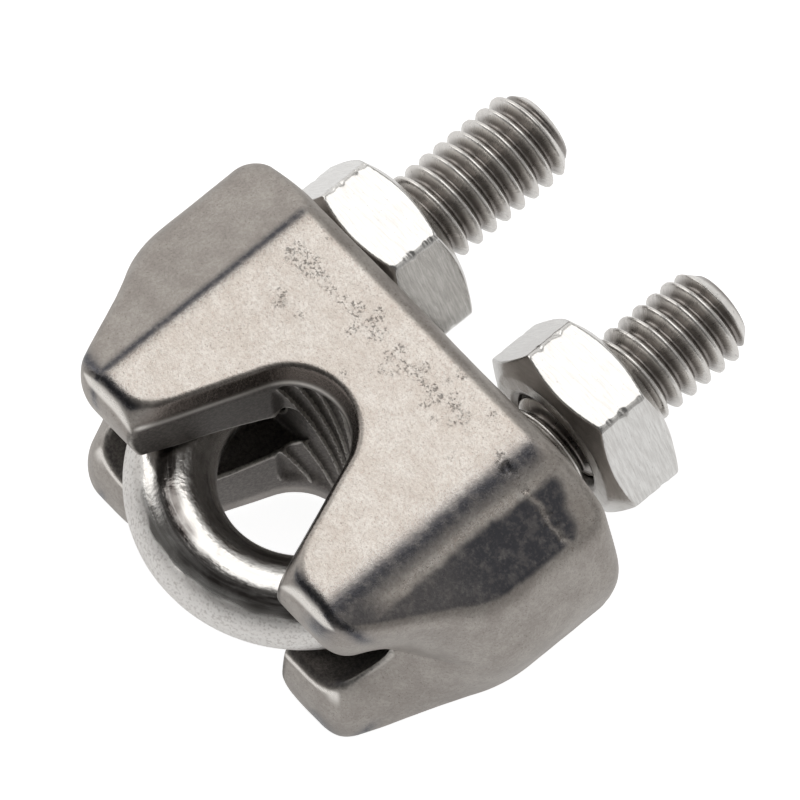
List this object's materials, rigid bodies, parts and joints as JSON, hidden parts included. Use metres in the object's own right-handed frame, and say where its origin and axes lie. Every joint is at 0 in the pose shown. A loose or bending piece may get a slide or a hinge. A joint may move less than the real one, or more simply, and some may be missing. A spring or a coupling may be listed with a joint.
{
  "type": "wire rope clip",
  "caption": "Cast saddle with a grooved seat, a threaded U-bolt through it and hex nuts that draw the bow up to grip a wire rope loop.",
  "frame": {"origin": "middle of the footprint, on the saddle's back end face", "axes": "+X across the legs towards the loose nut, +Y along the legs towards the thread ends, +Z along the rope away from the back face"},
  "size_m": [0.0214, 0.023, 0.0108],
  "materials": {
    "cast_steel": "tumbled stainless casting, satin with worn bright edges",
    "polished_steel": "polished stainless wire with rolled threads and fine scratches",
    "nut_steel": "bright stainless with finely scratched flats"
  },
  "bodies": {
    "saddle": {"saddle": "cast_steel"},
    "u_bolt": {"u_bolt": "polished_steel"},
    "nut_left": {"nut_left": "nut_steel"},
    "nut_right": {"nut_right": "nut_steel"}
  },
  "joints": [
    {"name": "u_bolt_draw", "type": "slide", "parent": "saddle", "child": "u_bolt", "axis": [0, 1, 0], "range_m": [-0.00525, 0.0028]},
    {"name": "nut_left_turn", "type": "hinge", "parent": "saddle", "child": "nut_left", "pos_m": [-0.00495, 0.00325, 0.0054], "axis": [0, -1, 0], "range_deg": [-2701, 1441]},
    {"name": "nut_right_turn", "type": "hinge", "parent": "saddle", "child": "nut_right", "pos_m": [0.00495, 0.0046, 0.0054], "axis": [0, -1, 0], "range_deg": [-2701, 1441]}
  ],
  "couplings": [
    {"joint": "nut_left_turn", "follows": "u_bolt_draw", "rad_per_m": 8976},
    {"joint": "nut_right_turn", "follows": "u_bolt_draw", "rad_per_m": 8976}
  ]
}
